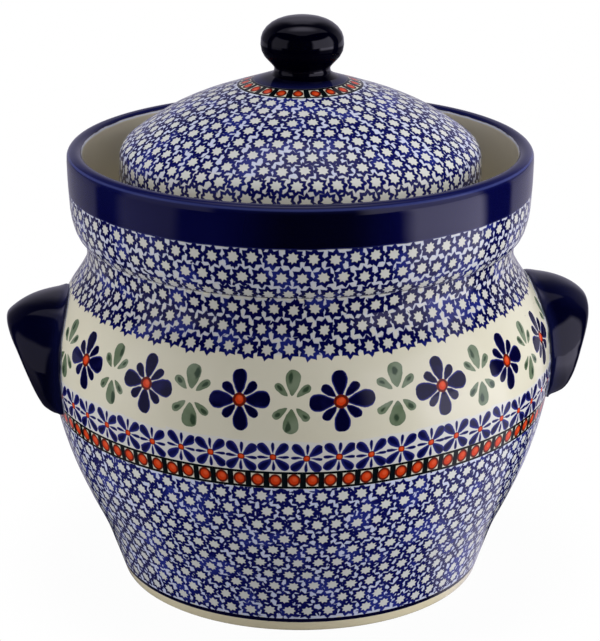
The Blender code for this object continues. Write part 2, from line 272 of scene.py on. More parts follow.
def with_rings(curve, marks):
    """Points along a fine curve, closer where it turns, with one exactly at each marked distance along it."""
    lengths = run_lengths(curve)
    chosen = [0.0]
    turn = 0.0
    for i in range(1, len(curve) - 1):
        back = math.atan2(curve[i][1] - curve[i - 1][1], curve[i][0] - curve[i - 1][0])
        ahead = math.atan2(curve[i + 1][1] - curve[i][1], curve[i + 1][0] - curve[i][0])
        turn += abs(math.remainder(ahead - back, math.tau))
        if lengths[i] - chosen[-1] >= RING_SPACING or turn > RING_TURN:
            chosen.append(lengths[i])
            turn = 0.0
    chosen.append(lengths[-1])
    marks = [mark for mark in marks if 0.0 < mark < lengths[-1]]
    chosen = [place for place in chosen if all(abs(place - mark) > RING_ROOM for mark in marks)]
    places = sorted(chosen + marks)
    radii = np.interp(places, lengths, [point[0] for point in curve])
    heights = np.interp(places, lengths, [point[1] for point in curve])
    return [(float(r), float(z)) for r, z in zip(radii, heights)], places


def throw(name, outline):
    """Raise a line of clay point by point and spin it round the upright axis, as on a wheel."""
    bpy.ops.object.select_all(action="DESELECT")
    start = (outline[0][0], 0.0, outline[0][1])
    bpy.ops.mesh.primitive_plane_add(size=MM, location=start)
    pot = bpy.context.object
    pot.name = name
    pot.data.name = name
    bpy.ops.object.transform_apply(location=True, rotation=False, scale=False)
    bpy.ops.object.mode_set(mode="EDIT")
    bpy.ops.mesh.select_mode(type="VERT")
    bpy.ops.mesh.select_all(action="SELECT")
    bpy.ops.mesh.merge(type="CENTER")
    for before, after in zip(outline, outline[1:]):
        step = (after[0] - before[0], 0.0, after[1] - before[1])
        bpy.ops.mesh.extrude_vertices_move(TRANSFORM_OT_translate={"value": step})
    bpy.ops.mesh.select_all(action="SELECT")
    bpy.ops.mesh.spin(steps=WHEEL_STEPS, angle=math.tau, center=(0.0, 0.0, 0.0), axis=(0.0, 0.0, 1.0))
    bpy.ops.mesh.select_all(action="SELECT")
    bpy.ops.mesh.remove_doubles(threshold=0.00002)
    bpy.ops.mesh.normals_make_consistent(inside=False)
    bpy.ops.object.mode_set(mode="OBJECT")
    bpy.ops.object.shade_smooth_by_angle(angle=math.radians(50.0))
    return pot


def wall_places(pot, outline, places):
    """Each face corner's share of the way round, distance along the outline and face, then both per face."""
    mesh = pot.data
    spots = np.empty(len(mesh.vertices) * 3)
    mesh.vertices.foreach_get("co", spots)
    spots = spots.reshape(-1, 3)
    radii = np.hypot(spots[:, 0], spots[:, 1])
    line = np.array(outline)
    nearest = np.empty(len(spots), int)
    handful = 4000
    for start in range(0, len(spots), handful):
        part = slice(start, start + handful)
        gaps = (radii[part, None] - line[None, :, 0]) ** 2 + (spots[part, None, 2] - line[None, :, 1]) ** 2
        nearest[part] = gaps.argmin(axis=1)
    along = np.array(places)[nearest]
    corners = np.empty(len(mesh.loops), int)
    mesh.loops.foreach_get("vertex_index", corners)
    totals = np.empty(len(mesh.polygons), int)
    mesh.polygons.foreach_get("loop_total", totals)
    owner = np.repeat(np.arange(len(totals)), totals)
    along = along[corners]
    starts = np.concatenate(([0], np.cumsum(totals)[:-1]))
    whole = places[-1] - places[0]
    reach = np.maximum.reduceat(along, starts) - np.minimum.reduceat(along, starts)
    along[(reach[owner] > whole / 2) & (along < places[0] + whole / 2)] += whole
    middle = np.zeros((len(totals), 3))
    np.add.at(middle, owner, spots[corners])
    face_angle = (np.arctan2(middle[:, 1], middle[:, 0]) - SEAM) % math.tau
    column = np.floor(face_angle / math.tau * WHEEL_STEPS) + 0.5
    corner_angle = (np.arctan2(spots[corners, 1], spots[corners, 0]) - SEAM) % math.tau
    turn = corner_angle / math.tau - column[owner] / WHEEL_STEPS
    turn -= np.round(turn)
    turn[radii[corners] < 1e-6] = 0.0
    around = column[owner] / WHEEL_STEPS + turn
    low = np.minimum.reduceat(along, starts)
    high = np.maximum.reduceat(along, starts)
    return around, along, owner, column / WHEEL_STEPS, (low + high) / 2


def lay_out(pot, name, across, up):
    layer = pot.data.uv_layers.new(name=name)
    layer.data.foreach_set("uv", np.column_stack((across, up)).astype(np.float32).ravel())


def band_drift(around, along):
    """How far the hand-painted bands of the jar climb away from level, in metres."""
    angle = (around - 0.5) * 360.0
    right = smooth_step(angle, 3.0, 32.0) * smooth_step(angle, 110.0, 45.0)
    return (BAND_CLIMB * np.sin(np.radians(angle)) ** 2 + BAND_LEAN * right) * smooth_step(along, 0.02, 0.07)


def smooth_step(values, low, high):
    share = np.clip((values - low) / (high - low), 0.0, 1.0)
    return share * share * (3.0 - 2.0 * share)


def mark_wall(pot, outline, places, star_rows, painted_to, drift):
    """UV maps: the flat bake layout, the wall itself in metres, and two sets of star cells that interlock."""
    around, along, owner, face_around, face_along = wall_places(pot, outline, places)

    # the painted wall lies in two strips of the bake layout, one above the other, and the rest in a third
    strip = np.where(face_around < 0.5, 0, 1)[owner]
    on_wall = ((face_along > 0.0) & (face_along < painted_to))[owner]
    across = np.where(on_wall, around * 2 - strip, around) * (1 - 2 * BAKE_MARGIN) + BAKE_MARGIN
    wall_up = STRIP_FOOT + strip * STRIP_STEP + along / painted_to * STRIP_HEIGHT
    rest_length = places[-1] - places[0] - painted_to
    past = (face_along > painted_to)[owner]
    rest = np.clip(np.where(past, along - painted_to, along + rest_length), 0.0, rest_length)
    rest_up = REST_FOOT + rest / rest_length * REST_HEIGHT
    lay_out(pot, "OFBake", across, np.where(on_wall, wall_up, rest_up))
    if drift:
        along = along - band_drift(around, along)
    lay_out(pot, "wall", around, along)

    radii = np.interp(star_rows, places, [point[0] for point in outline])
    for name, first_row in (("stars_even", 0), ("stars_odd", 1)):
        x = np.zeros(len(around))
        y = np.zeros(len(around))
        for row in range(first_row, len(star_rows), 2):
            inside = (np.abs(face_along - star_rows[row]) < STAR_CELL / 2)[owner]
            count = round(math.tau * radii[row] / STAR_PITCH)
            slip = STAR_SLIPS[row % len(STAR_SLIPS)]
            x[inside] = around[inside] * count + (0.5 - slip - 0.5 * count) % 1.0
            y[inside] = row + 1.5 + (along[inside] - star_rows[row]) / STAR_CELL
        lay_out(pot, name, x, y)


class Recipe:
    """Mixes one glaze: adds its shader nodes and joins them up."""

    def __init__(self, tree):
        self.tree = tree

    def fill(self, node, inputs):
        """Set a node's inputs, by name or number, to values or to other nodes' outputs."""
        for key, value in inputs.items():
            if isinstance(value, bpy.types.NodeSocket):
                self.tree.links.new(value, node.inputs[key])
            else:
                node.inputs[key].default_value = value
        return node

    def add(self, kind, inputs, **settings):
        node = self.tree.nodes.new("ShaderNode" + kind)
        for key, value in settings.items():
            setattr(node, key, value)
        return self.fill(node, inputs)

    def sum(self, operation, *values):
        return self.add("Math", dict(enumerate(values)), operation=operation).outputs[0]

    def plus(self, *values):
        total = values[0]
        for value in values[1:]:
            total = self.sum("ADD", total, value)
        return total

    def minus(self, a, b):
        return self.sum("SUBTRACT", a, b)

    def times(self, *values):
        total = values[0]
        for value in values[1:]:
            total = self.sum("MULTIPLY", total, value)
        return total

    def size(self, value):
        return self.sum("ABSOLUTE", value)

    def length(self, x, y):
        return self.sum("SQRT", self.plus(self.times(x, x), self.times(y, y)))

    def ramp(self, value, low, high):
        """0 at low and 1 at high, with a soft step between."""
        inputs = dict(enumerate((value, low, high, 0.0, 1.0)))
        return self.add("MapRange", inputs, interpolation_type="SMOOTHSTEP").outputs[0]

    def within(self, value, low, high, soft=0.00015):
        """1 between two marks and 0 outside them, with edges twice as wide as soft."""
        over = self.ramp(value, low - soft, low + soft)
        return self.times(over, self.ramp(value, high + soft, high - soft))

    def layer(self, under, over, share):
        return self.add("Mix", {0: share, 6: under, 7: over}, data_type="RGBA").outputs[2]

    def vector(self, x, y, z=0.0):
        return self.add("CombineXYZ", {0: x, 1: y, 2: z}).outputs[0]

    def parts(self, vector):
        return self.add("SeparateXYZ", {0: vector}).outputs

    def map(self, name):
        return self.add("UVMap", {}, uv_map=name).outputs[0]

    def spot(self):
        """The point of the clay that is painted."""
        return self.add("TexCoord", {}).outputs["Object"]

    def spread(self, chance, width):
        """A random value from 0 to 1, as one round 0 that ranges over a width."""
        return self.times(self.minus(chance, 0.5), width)

    def in_sector(self, x, y, turn, count):
        """How far along and across the nearest of some equal sectors round the middle the point x, y is."""
        angle = self.plus(self.sum("ARCTAN2", y, x), turn)
        share = self.minus(self.sum("FRACT", self.plus(self.times(angle, count / math.tau), 0.5)), 0.5)
        fold = self.times(share, math.tau / count)
        reach = self.length(x, y)
        return self.times(reach, self.sum("COSINE", fold)), self.times(reach, self.sum("SINE", fold))

    def crackle(self, scale):
        """Distance to the nearest edge between irregular cells, in cell widths."""
        inputs = {"Vector": self.spot(), "Scale": scale}
        return self.add("TexVoronoi", inputs, feature="DISTANCE_TO_EDGE").outputs["Distance"]

    def cloud(self, scale, detail=2.0):
        """Soft random values from 0 to 1 through the clay, and a random colour."""
        node = self.add("TexNoise", {"Vector": self.spot(), "Scale": scale, "Detail": detail})
        return node.outputs[0], self.parts(node.outputs[1])

    def dice(self, x, y, seed):
        """Three random numbers that stay the same all over one cell."""
        node = self.add("TexWhiteNoise", {"Vector": self.vector(x, y, seed)}, noise_dimensions="3D")
        return self.parts(node.outputs["Color"])

    def turned(self, x, y, angle):
        """The point x, y turned by an angle."""
        cosine = self.sum("COSINE", angle)
        sine = self.sum("SINE", angle)
        return (self.minus(self.times(x, cosine), self.times(y, sine)),
                self.plus(self.times(x, sine), self.times(y, cosine)))


# Glazes and inks
INK = (0.0036, 0.0048, 0.096, 1.0)
INK_DEEP = (0.0006, 0.0011, 0.052, 1.0)
INK_THIN = (0.030, 0.045, 0.34, 1.0)
PETAL = (0.0009, 0.0009, 0.025, 1.0)
PETAL_THIN = (0.018, 0.018, 0.150, 1.0)
PETAL_EDGE = (0.020, 0.024, 0.200, 1.0)
DAISY = (0.0022, 0.0026, 0.048, 1.0)
COBALT = (0.0006, 0.0007, 0.009, 1.0)
# a darker copy of the cobalt for the knob: painted shade
KNOB_COBALT_SHADED = (0.0002, 0.0002, 0.0032, 1.0)
# bluer cobalt for the rim's sides away from the camera: painted sheen
COBALT_SIDE_SHEEN = (0.0012, 0.0016, 0.040, 1.0)
COBALT_THIN = (0.014, 0.018, 0.120, 1.0)
RIM_BLUE = (0.036, 0.045, 0.170, 1.0)
CREAM = (0.700, 0.668, 0.548, 1.0)
CREAM_WARM = (0.640, 0.590, 0.450, 1.0)
CHANNEL_CREAM = (0.640, 0.575, 0.440, 1.0)
STAR_WHITE = (0.680, 0.685, 0.665, 1.0)
# greyed star white: painted shade for the deep rows
SHADED_STAR_WHITE = (0.570, 0.560, 0.520, 1.0)
LAVENDER = (0.595, 0.645, 0.870, 1.0)
# greyed lavender for the gaps: painted shade for the deep rows
SHADED_LAVENDER = (0.440, 0.475, 0.690, 1.0)
# bare clay of the foot, warmer than the glaze and made lighter as painted bounce light from the floor
BARE_FOOT_LIT = (0.800, 0.720, 0.520, 1.0)
SAGE = (0.118, 0.164, 0.098, 1.0)
SAGE_LIGHT = (0.190, 0.240, 0.164, 1.0)
SAGE_DARK = (0.016, 0.038, 0.020, 1.0)
ORANGE = (0.650, 0.046, 0.008, 1.0)
ORANGE_RING = (0.120, 0.012, 0.005, 1.0)
# the lighter spot in each orange dot: painted highlight
ORANGE_HIGHLIGHT = (0.800, 0.140, 0.045, 1.0)
CHAIN_DARK = (0.0022, 0.0052, 0.0070, 1.0)
GLAZE_IOR = 1.43
DULL_IOR = 1.07


def star_stamp():
    """Node group: how far a point of a cell is outside a small eight-pointed star, in millimetres."""
    tree = bpy.data.node_groups.new("star_stamp", "ShaderNodeTree")
    for name in ("cell", "shake"):
        tree.interface.new_socket(name, in_out="INPUT", socket_type="NodeSocketVector")
    tree.interface.new_socket("outside", in_out="OUTPUT", socket_type="NodeSocketFloat")
    r = Recipe(tree)
    entry = tree.nodes.new("NodeGroupInput")
    x, y, _ = r.parts(entry.outputs[0])
    shake = r.parts(entry.outputs[1])
    luck = r.dice(r.sum("FLOOR", x), r.sum("FLOOR", y), seed=3.7)
    places = []
    for share, cell, chance, push in ((x, STAR_PITCH, luck[0], shake[0]), (y, STAR_CELL, luck[1], shake[1])):
        middle = r.times(r.minus(r.sum("FRACT", share), 0.5), cell / MM)
        places.append(r.plus(middle, r.spread(chance, STAR_SWAY / MM), push))
    along, across = r.in_sector(*places, turn=r.spread(luck[2], STAR_TURN), count=8)
    across = r.size(across)
    tip = (STAR_TIP / MM, 0.0)
    notch = (STAR_NOTCH / MM * math.cos(math.pi / 8), STAR_NOTCH / MM * math.sin(math.pi / 8))
    side = (notch[0] - tip[0], notch[1] - tip[1])
    side_length = math.hypot(*side)
    outside = r.plus(r.times(r.minus(along, tip[0]), side[1] / side_length),
                     r.times(across, -side[0] / side_length))
    r.fill(tree.nodes.new("NodeGroupOutput"), {0: outside})
    return tree


def star_field(r, colour, stamp, band, tight, deep):
    """Stamped stars in interlocking rows with pale gaps.

    band is where the gaps are pale, tight is where more strokes of ink close them, and deep is where the ink
    is darker and its lines are thicker, and where painted shade greys the white stars and the pale gaps.
    """
    _, shake = r.cloud(220.0)
    push = r.vector(*[r.spread(part, 1.5) for part in shake[:2]])
    outside = r.sum("MINIMUM", *[r.add("Group", {0: r.map(name), 1: push}, node_tree=stamp).outputs[0]
                                 for name in ("stars_even", "stars_odd")])
    wear, _ = r.cloud(420.0)
    half = r.plus(STAR_LINE / MM / 2, r.spread(wear, 0.32), r.times(tight, 0.04), r.times(deep, 0.15))
    line = r.ramp(r.minus(r.size(outside), half), 0.20, -0.20)
    breaks, _ = r.cloud(230.0, 0.0)
    broken = r.ramp(r.plus(breaks, r.times(tight, 0.12)), 0.66, 0.70)
    strokes = r.times(r.ramp(r.crackle(185.0), 0.135, 0.080), broken, band,
                      r.within(outside, 0.45, 3.4, soft=0.15))
    tone, _ = r.cloud(55.0)
    thin = r.times(r.ramp(tone, 0.50, 0.66), r.plus(0.40, r.times(tight, 0.15)))
    ink = r.layer(r.layer(INK, INK_DEEP, deep), INK_THIN, thin)
    # painted shade: where deep, the white stars turn grey
    colour = r.layer(colour, r.layer(STAR_WHITE, SHADED_STAR_WHITE, deep), r.ramp(outside, 0.2, 0.0))
    gap = r.times(r.ramp(outside, 0.0, 0.3), r.ramp(outside, 3.4, 2.2), band)
    # painted shade: where deep, the pale gaps turn grey too
    shade = r.layer(SHADED_LAVENDER, SHADED_STAR_WHITE, r.ramp(outside, 0.9, 1.9))
    colour = r.layer(colour, r.layer(LAVENDER, shade, deep), r.times(gap, 0.85))
    colour = r.layer(colour, ink, strokes)
    return r.layer(colour, ink, line)


def stamp_place(r, around, along, count, front_angle, centre, girth, seed, sway, turn):
    """Millimetres across and up from the nearest stamp of a ring of them, and its three random numbers."""
    phase = (0.5 - count * (0.5 + front_angle / 360.0)) % 1.0
    place = r.plus(r.times(around, count), phase)
    luck = r.dice(r.sum("MODULO", r.sum("FLOOR", place), count), 0.5, seed)
    x = r.plus(r.times(r.minus(r.sum("FRACT", place), 0.5), girth / MM / count), r.spread(luck[0], sway))
    y = r.plus(r.minus(r.times(along, 1 / MM), centre / MM), r.spread(luck[1], sway))
    x, y = r.turned(x, y, r.spread(luck[2], turn))
    return x, y, luck


def drop(r, along, across, base, length, width):
    """How many millimetres inside a brushed drop, pointed at its base and round at its tip, a point is."""
    t = r.sum("MAXIMUM", r.sum("MINIMUM", r.times(r.minus(along, base), 1 / length), 1.0), 0.0)
    belly = r.times(r.sum("POWER", t, 0.6), r.sum("SQRT", r.minus(1.0, r.sum("POWER", t, 4.0))))
    return r.minus(r.minus(r.times(belly, 0.66 * width), r.size(across)), 0.10)


def four_drops(r, x, y, first_angle, base, length, width, plump=0.0):
    """Four drops round a point, a quarter turn apart. The two that lie flat may be plumper."""
    if plump:
        y = r.times(y, r.minus(1.0, r.times(r.ramp(r.minus(r.size(x), r.size(y)), -0.4, 0.4), plump)))
    along, across = r.in_sector(x, y, turn=-first_angle, count=4)
    return drop(r, along, across, base, length, width)


def petals(r, colour, inside, band, deep, depth):
    """Brushed petals, kept to a band: thin ink at their edges and deep ink where it pooled."""
    inside = r.minus(r.times(r.plus(inside, 9.0), band), 9.0)
    tone, _ = r.cloud(70.0)
    body = r.layer(deep, PETAL_THIN, r.times(r.ramp(tone, 0.50, 0.78), 0.45))
    ink = r.layer(PETAL_EDGE, body, r.ramp(inside, 0.1, depth))
    return r.layer(colour, ink, r.ramp(inside, -0.12, 0.22))


def dot(r, colour, x, y, radius, ring, stretch=1.0):
    """A thick orange dot with a darker ring and a painted highlight just off its middle."""
    y = r.times(y, 1 / stretch)
    reach = r.length(x, y)
    colour = r.layer(colour, ORANGE_RING, r.ramp(reach, radius + 0.12, radius - 0.16))
    colour = r.layer(colour, ORANGE, r.ramp(reach, radius - ring + 0.25, radius - ring - 0.35))
    # painted highlight: a lighter spot a little up and to one side of the middle
    off_middle = r.length(r.minus(x, 0.12 * radius), r.minus(y, 0.15 * radius))
    glow = r.ramp(off_middle, 0.50 * radius, 0.20 * radius)
    return r.layer(colour, ORANGE_HIGHLIGHT, r.times(glow, 0.50))


def sprig(r, colour, x, y, chance):
    """Leaves above and below a point: one upright and two leaning out, with darker pools of ink in them."""
    rise = r.minus(r.size(y), 0.8)
    lean = math.radians(48.0)
    wide = r.size(x)
    out = r.plus(r.times(wide, math.sin(lean)), r.times(rise, math.cos(lean)))
    over = r.minus(r.times(wide, math.cos(lean)), r.times(rise, math.sin(lean)))
    upright = drop(r, rise, x, base=2.6, length=13.4, width=9.0)
    leaning = drop(r, out, over, base=3.2, length=9.2, width=5.0)
    wash, _ = r.cloud(75.0)
    leaf = r.layer(SAGE, SAGE_LIGHT, r.ramp(wash, 0.36, 0.66))
    beside = r.minus(x, r.times(r.minus(chance, 0.35), 4.0))
    pool = r.sum("MINIMUM",
                 r.length(r.times(r.minus(rise, 11.6), 1 / 3.4), r.times(beside, 1 / 1.7)),
                 r.length(r.times(r.minus(out, 9.4), 1 / 2.6), r.times(over, 1 / 1.3)))
    blotch, _ = r.cloud(190.0, 1.0)
    pooled = r.ramp(r.plus(pool, r.spread(blotch, 1.6)), 1.05, 0.45)
    leaf = r.layer(leaf, SAGE_DARK, r.times(pooled, 0.85))
    return r.layer(colour, leaf, r.ramp(r.sum("MAXIMUM", upright, leaning), -0.12, 0.22))


def blossom_frieze(r, colour, around, along, shake):
    """Large blossoms with sprigs of leaves between them, all a little off their places on two stretches."""
    girth = math.tau * FRIEZE_RADIUS
    angle = r.times(r.minus(around, 0.5), 360.0)
    slip = r.minus(r.times(r.within(angle, 16.0, 62.0, soft=12.0), 2.1),
                   r.times(r.within(angle, -44.0, -24.0, soft=8.0), 0.9))
    around = r.minus(around, r.times(slip, 1 / 360.0))
    x, y, _ = stamp_place(r, around, along, BLOSSOMS, front_angle=-12.9, centre=0.1556, girth=girth,
                          seed=1.3, sway=1.6, turn=0.16)
    x = r.plus(x, shake[0])
    y = r.plus(y, shake[1])
    band = r.ramp(r.size(y), 21.0, 20.0)
    slanted = four_drops(r, x, y, math.pi / 4, base=3.2, length=9.4, width=5.7)
    upright = four_drops(r, x, y, 0.0, base=2.4, length=13.8, width=9.0, plump=0.15)
    colour = petals(r, colour, slanted, band, PETAL, depth=0.8)
    colour = petals(r, colour, upright, band, PETAL, depth=1.1)
    colour = dot(r, colour, x, y, radius=3.65, ring=1.35)
    x, y, luck = stamp_place(r, around, along, BLOSSOMS, front_angle=-12.6 + 180.0 / BLOSSOMS,
                             centre=0.1553, girth=girth, seed=2.9, sway=1.4, turn=0.12)
    return sprig(r, colour, r.plus(x, shake[1]), r.plus(y, shake[0]), luck[0])


def daisy_row(r, colour, around, along, shake):
    """A row of small flowers, each of four thick and four thin petals, on a pale wash."""
    x, y, _ = stamp_place(r, around, along, DAISIES, front_angle=1.2, centre=0.1258,
                          girth=math.tau * DAISY_RADIUS, seed=4.1, sway=1.1, turn=0.16)
    x = r.plus(x, r.times(shake[0], 0.8))
    y = r.times(r.plus(y, r.times(shake[1], 0.8)), 1.03)
    band = r.ramp(r.size(y), 9.8, 9.2)
    colour = r.layer(colour, LAVENDER, r.times(band, 0.30))
    slanted = four_drops(r, x, y, math.pi / 4, base=1.3, length=9.5, width=5.9)
    upright = four_drops(r, x, y, 0.0, base=1.9, length=6.6, width=2.4)
    colour = petals(r, colour, slanted, band, DAISY, depth=1.9)
    colour = petals(r, colour, upright, band, DAISY, depth=0.9)
    return dot(r, colour, x, y, radius=1.95, ring=0.50)


def dot_chain(r, colour, around, along, shake, count, front_angle, centre, half_width, radius, dot_share):
    """Orange dots in squares between dark bars, ruled off above and below."""
    girth = math.tau * radius
    x, y, luck = stamp_place(r, around, along, count, front_angle, centre, girth,
                             seed=5.3, sway=0.0, turn=0.0)
    pitch = girth / MM / count
    half = half_width / MM
    band = r.ramp(r.size(y), half + 0.12, half - 0.12)
    colour = r.layer(colour, CREAM, band)
    bar = r.ramp(r.size(r.plus(x, r.times(shake[0], 0.4))), pitch / 2 - 1.75, pitch / 2 - 1.45)
    rule = r.ramp(r.size(r.plus(y, r.times(shake[1], 0.3))), half - 1.60, half - 1.30)
    colour = r.layer(colour, CHAIN_DARK, r.times(band, r.sum("MAXIMUM", bar, rule)))
    # pushed far aside outside the band, so that no dot shows there
    aside = r.plus(r.times(r.minus(1.0, band), 50.0), x)
    return dot(r, colour, r.plus(aside, r.spread(luck[0], 0.5)), r.plus(y, r.spread(luck[1], 0.4)),
               radius=half * dot_share, ring=1.05, stretch=1.12)


def cobalt_band(r, colour, share, thin=0.0, side=0.0):
    """Thick cobalt with a painted bluish sheen on its sides, and a little thinner where the glaze has run off
    an edge.
    """
    tone, _ = r.cloud(16.0)
    deep = r.layer(r.layer(COBALT, COBALT_SIDE_SHEEN, side), COBALT_THIN, r.times(r.ramp(tone, 0.45, 0.80), 0.12))
    deep = r.layer(deep, COBALT_THIN, thin)
    return r.layer(colour, deep, share)


def clay_ground(r):
    """Cream slip under the clear glaze, with warmer clouds and fine specks."""
    tone, _ = r.cloud(14.0)
    colour = r.layer(CREAM, CREAM_WARM, r.times(r.ramp(tone, 0.40, 0.80), 0.45))
    specks, _ = r.cloud(900.0, 1.0)
    return r.layer(colour, CREAM_WARM, r.times(r.ramp(specks, 0.72, 0.80), 0.35))


def glaze(name, paint, *details, specular=0.5):
    """A new glaze: painted colour under the clear glassy coat that all the pieces have in common."""
    material = bpy.data.materials.new(name)
    material.use_nodes = True
    r = Recipe(material.node_tree)
    shader = material.node_tree.nodes["Principled BSDF"]
    ripple, _ = r.cloud(42.0, 1.5)
    bump = r.add("Bump", {"Strength": 0.35, "Distance": 0.0004, "Height": ripple})
    r.fill(shader, {"Base Color": paint(r, *details), "Normal": bump.outputs[0], "Roughness": 0.07,
                    "IOR": GLAZE_IOR, "Specular IOR Level": specular})
    return material


def hand_shake(r):
    """Millimetres that paint goes astray across and up, because it is set by hand."""
    _, cloud = r.cloud(240.0)
    return [r.spread(part, 1.1) for part in cloud[:2]]


def off_front(r, around):
    """How far from the side that faces the camera, as a share of the way round."""
    return r.size(r.minus(around, FRONT))


def jar_paint(r, stamp):
    around, along, _ = r.parts(r.map("wall"))
    shake = hand_shake(r)
    lower = r.ramp(along, LOWER_STARS_END + MM, LOWER_STARS_END - MM)
    upper = r.ramp(along, UPPER_STARS_START - MM, UPPER_STARS_START + MM)
    # the upper rows are deep: darker ink, and painted shade under the rim's overhang
    colour = star_field(r, clay_ground(r), stamp, band=r.plus(lower, upper), tight=lower, deep=upper)
    colour = blossom_frieze(r, colour, around, along, shake)
    colour = daisy_row(r, colour, around, along, shake)
    colour = dot_chain(r, colour, around, along, shake, JAR_DOTS, front_angle=-1.36, centre=0.1123,
                       half_width=0.0052, radius=JAR_CHAIN_RADIUS, dot_share=0.665)
    line = r.within(r.plus(along, r.times(shake[0], 0.0002)), *FOOT_LINE)
    colour = r.layer(colour, PETAL, line)
    # the bare foot, painted lighter as light thrown up from the floor
    return r.layer(colour, BARE_FOOT_LIT, r.ramp(along, BARE_FOOT_TOP + 0.0003, BARE_FOOT_TOP - 0.0003))


def channel_paint(r, stamp):
    """Stars below, then the cobalt rim, thinner on its crest and lower edge, and cream clay inside."""
    around, along, _ = r.parts(r.map("wall"))
    # deep: darker ink, and painted shade in the whites
    colour = star_field(r, clay_ground(r), stamp, band=1.0, tight=0.0, deep=0.7)
    edge, _ = r.cloud(90.0)
    place = r.plus(along, r.spread(edge, 0.0012))
    crest = r.ramp(r.times(r.size(r.minus(along, RIM_CREST)), 1 / MM), 6.5, 3.5)
    start = r.ramp(r.minus(place, COBALT_FROM), 0.0011, 0.0003)
    thin = r.plus(r.times(crest, 0.30), r.times(start, 0.5))
    # painted sheen: the cobalt turns bluer towards the rim's sides, away from the camera
    side = r.ramp(off_front(r, around), 0.015, 0.065)
    colour = r.layer(colour, CHANNEL_CREAM, r.ramp(place, COBALT_TO - MM, COBALT_TO))
    halo = r.within(place, COBALT_TO, COBALT_TO + MM, soft=0.0003)
    colour = r.layer(colour, LAVENDER, r.times(halo, 0.7))
    cobalt = r.within(place, COBALT_FROM, COBALT_TO, soft=0.0003)
    colour = cobalt_band(r, colour, cobalt, thin, side)
    rim_edge = r.within(along, RIM_EDGE - RIM_EDGE_HALF, RIM_EDGE + RIM_EDGE_HALF, soft=0.0004)
    return r.layer(colour, RIM_BLUE, rim_edge)


def lid_paint(r, stamp):
    """Stars with paler gaps painted as a highlight on the front of the skirt, and a dot chain and cobalt
    round the knob.
    """
    around, along, _ = r.parts(r.map("wall"))
    # painted highlight: just below the shoulder, on the front only, the gaps are paler and have fewer strokes
    skirt = r.ramp(along, LID_SHOULDER, LID_SHOULDER + 0.0025)
    skirt = r.times(skirt, r.ramp(off_front(r, around), 0.19, 0.09))
    colour = star_field(r, clay_ground(r), stamp, band=r.minus(1.0, r.times(skirt, 0.50)),
                        tight=r.minus(0.12, r.times(skirt, 1.4)), deep=0.15)
    colour = dot_chain(r, colour, around, along, hand_shake(r), LID_DOTS, front_angle=-2.0, centre=0.0315,
                       half_width=0.0048, radius=LID_CHAIN_RADIUS, dot_share=0.610)
    cobalt = r.ramp(along, LID_COBALT_END + 0.0004, LID_COBALT_END - 0.0004)
    return cobalt_band(r, colour, cobalt, thin=r.times(r.ramp(along, 0.0195, 0.0255), 0.4))


def handle_paint(r):
    """Cobalt that thins to blue near the root, and a fine pale line where it stops at the wall."""
    stand, _, _ = r.parts(r.map("stand"))
    edge, _ = r.cloud(160.0)
    stand = r.plus(stand, r.spread(edge, 0.8))
    thin = r.times(r.ramp(stand, 8.0, 0.5), 0.30)
    return cobalt_band(r, LAVENDER, r.ramp(stand, 0.25, 0.75), thin)


def knob_glaze():
    """The darkest cobalt, darkened as painted shade against the top light, with little shine under the ball.
    """
    material = glaze("knob_glaze", lambda r: KNOB_COBALT_SHADED)
    r = Recipe(material.node_tree)
    under = r.within(r.parts(r.spot())[2], *KNOB_UNDERSIDE, soft=0.0006)
    ior = r.minus(GLAZE_IOR, r.times(under, GLAZE_IOR - DULL_IOR))
    r.fill(material.node_tree.nodes["Principled BSDF"], {"IOR": ior})
    return material


def jar_outline():
    """From under the middle round the foot, up to the ledge and down inside, and the outer wall's length."""
    outer = smooth_curve(
        between((FOOT_RADIUS, 0.0), (BELLY_RADIUS, BELLY_HEIGHT), FOOT_TO_BELLY)
        + between((BELLY_RADIUS, BELLY_HEIGHT), (CREASE_RADIUS, LEDGE_HEIGHT), BELLY_TO_CREASE)[1:], 24)
    inner = inset(outer, JAR_WALL)
    floor = FOOT_RECESS + FLOOR_THICKNESS
    ceiling = LEDGE_HEIGHT - LEDGE_THICKNESS
    ring_inside = FOOT_RADIUS - FOOT_RING_WIDTH
    corners = [(0.0, FOOT_RECESS, 0.0), (ring_inside - FOOT_RECESS, FOOT_RECESS, 0.0),
               (ring_inside, 0.0, 0.0), (FOOT_RADIUS, 0.0, FOOT_ROUNDING)]
    corners += [(r, z, 0.0) for r, z in outer if z > 2 * FOOT_ROUNDING]
    corners += [(MOUTH_RADIUS, LEDGE_HEIGHT, 0.0), (MOUTH_RADIUS, ceiling, LIP_ROUNDING),
                (CREASE_RADIUS - JAR_WALL, ceiling, CEILING_ROUNDING)]
    corners += [(r, z, 0.0) for r, z in reversed(inner)
                if floor + INSIDE_ROUNDING < z < ceiling - CEILING_ROUNDING]
    corners += [(radius_at(inner, floor), floor, INSIDE_ROUNDING), (0.0, floor, 0.0)]
    return rounded(corners), run_lengths(outer)[-1]


def channel_outline():
    """Up the outside from the crease, over the rim, down the inside and back under the foot."""
    rim_radius = (CHANNEL_OUTER - CHANNEL_INNER) / 2
    rim = arc((CHANNEL_INNER + rim_radius, CHANNEL_TOP - rim_radius), rim_radius, 0, 180, 24)
    start = (CREASE_RADIUS - SEAM_OVERLAP, LEDGE_HEIGHT - SEAM_OVERLAP)
    outside = smooth_curve(between(start, rim[0], CREASE_TO_RIM), 24)
    fillet_centre = (CHANNEL_INNER - CHANNEL_FILLET, ON_LEDGE + CHANNEL_FOOT_EDGE + CHANNEL_FILLET)
    fillet = arc(fillet_centre, CHANNEL_FILLET, 0, -90, 12)
    return outside + rim[1:] + fillet + [(fillet_centre[0], ON_LEDGE), outside[0]]


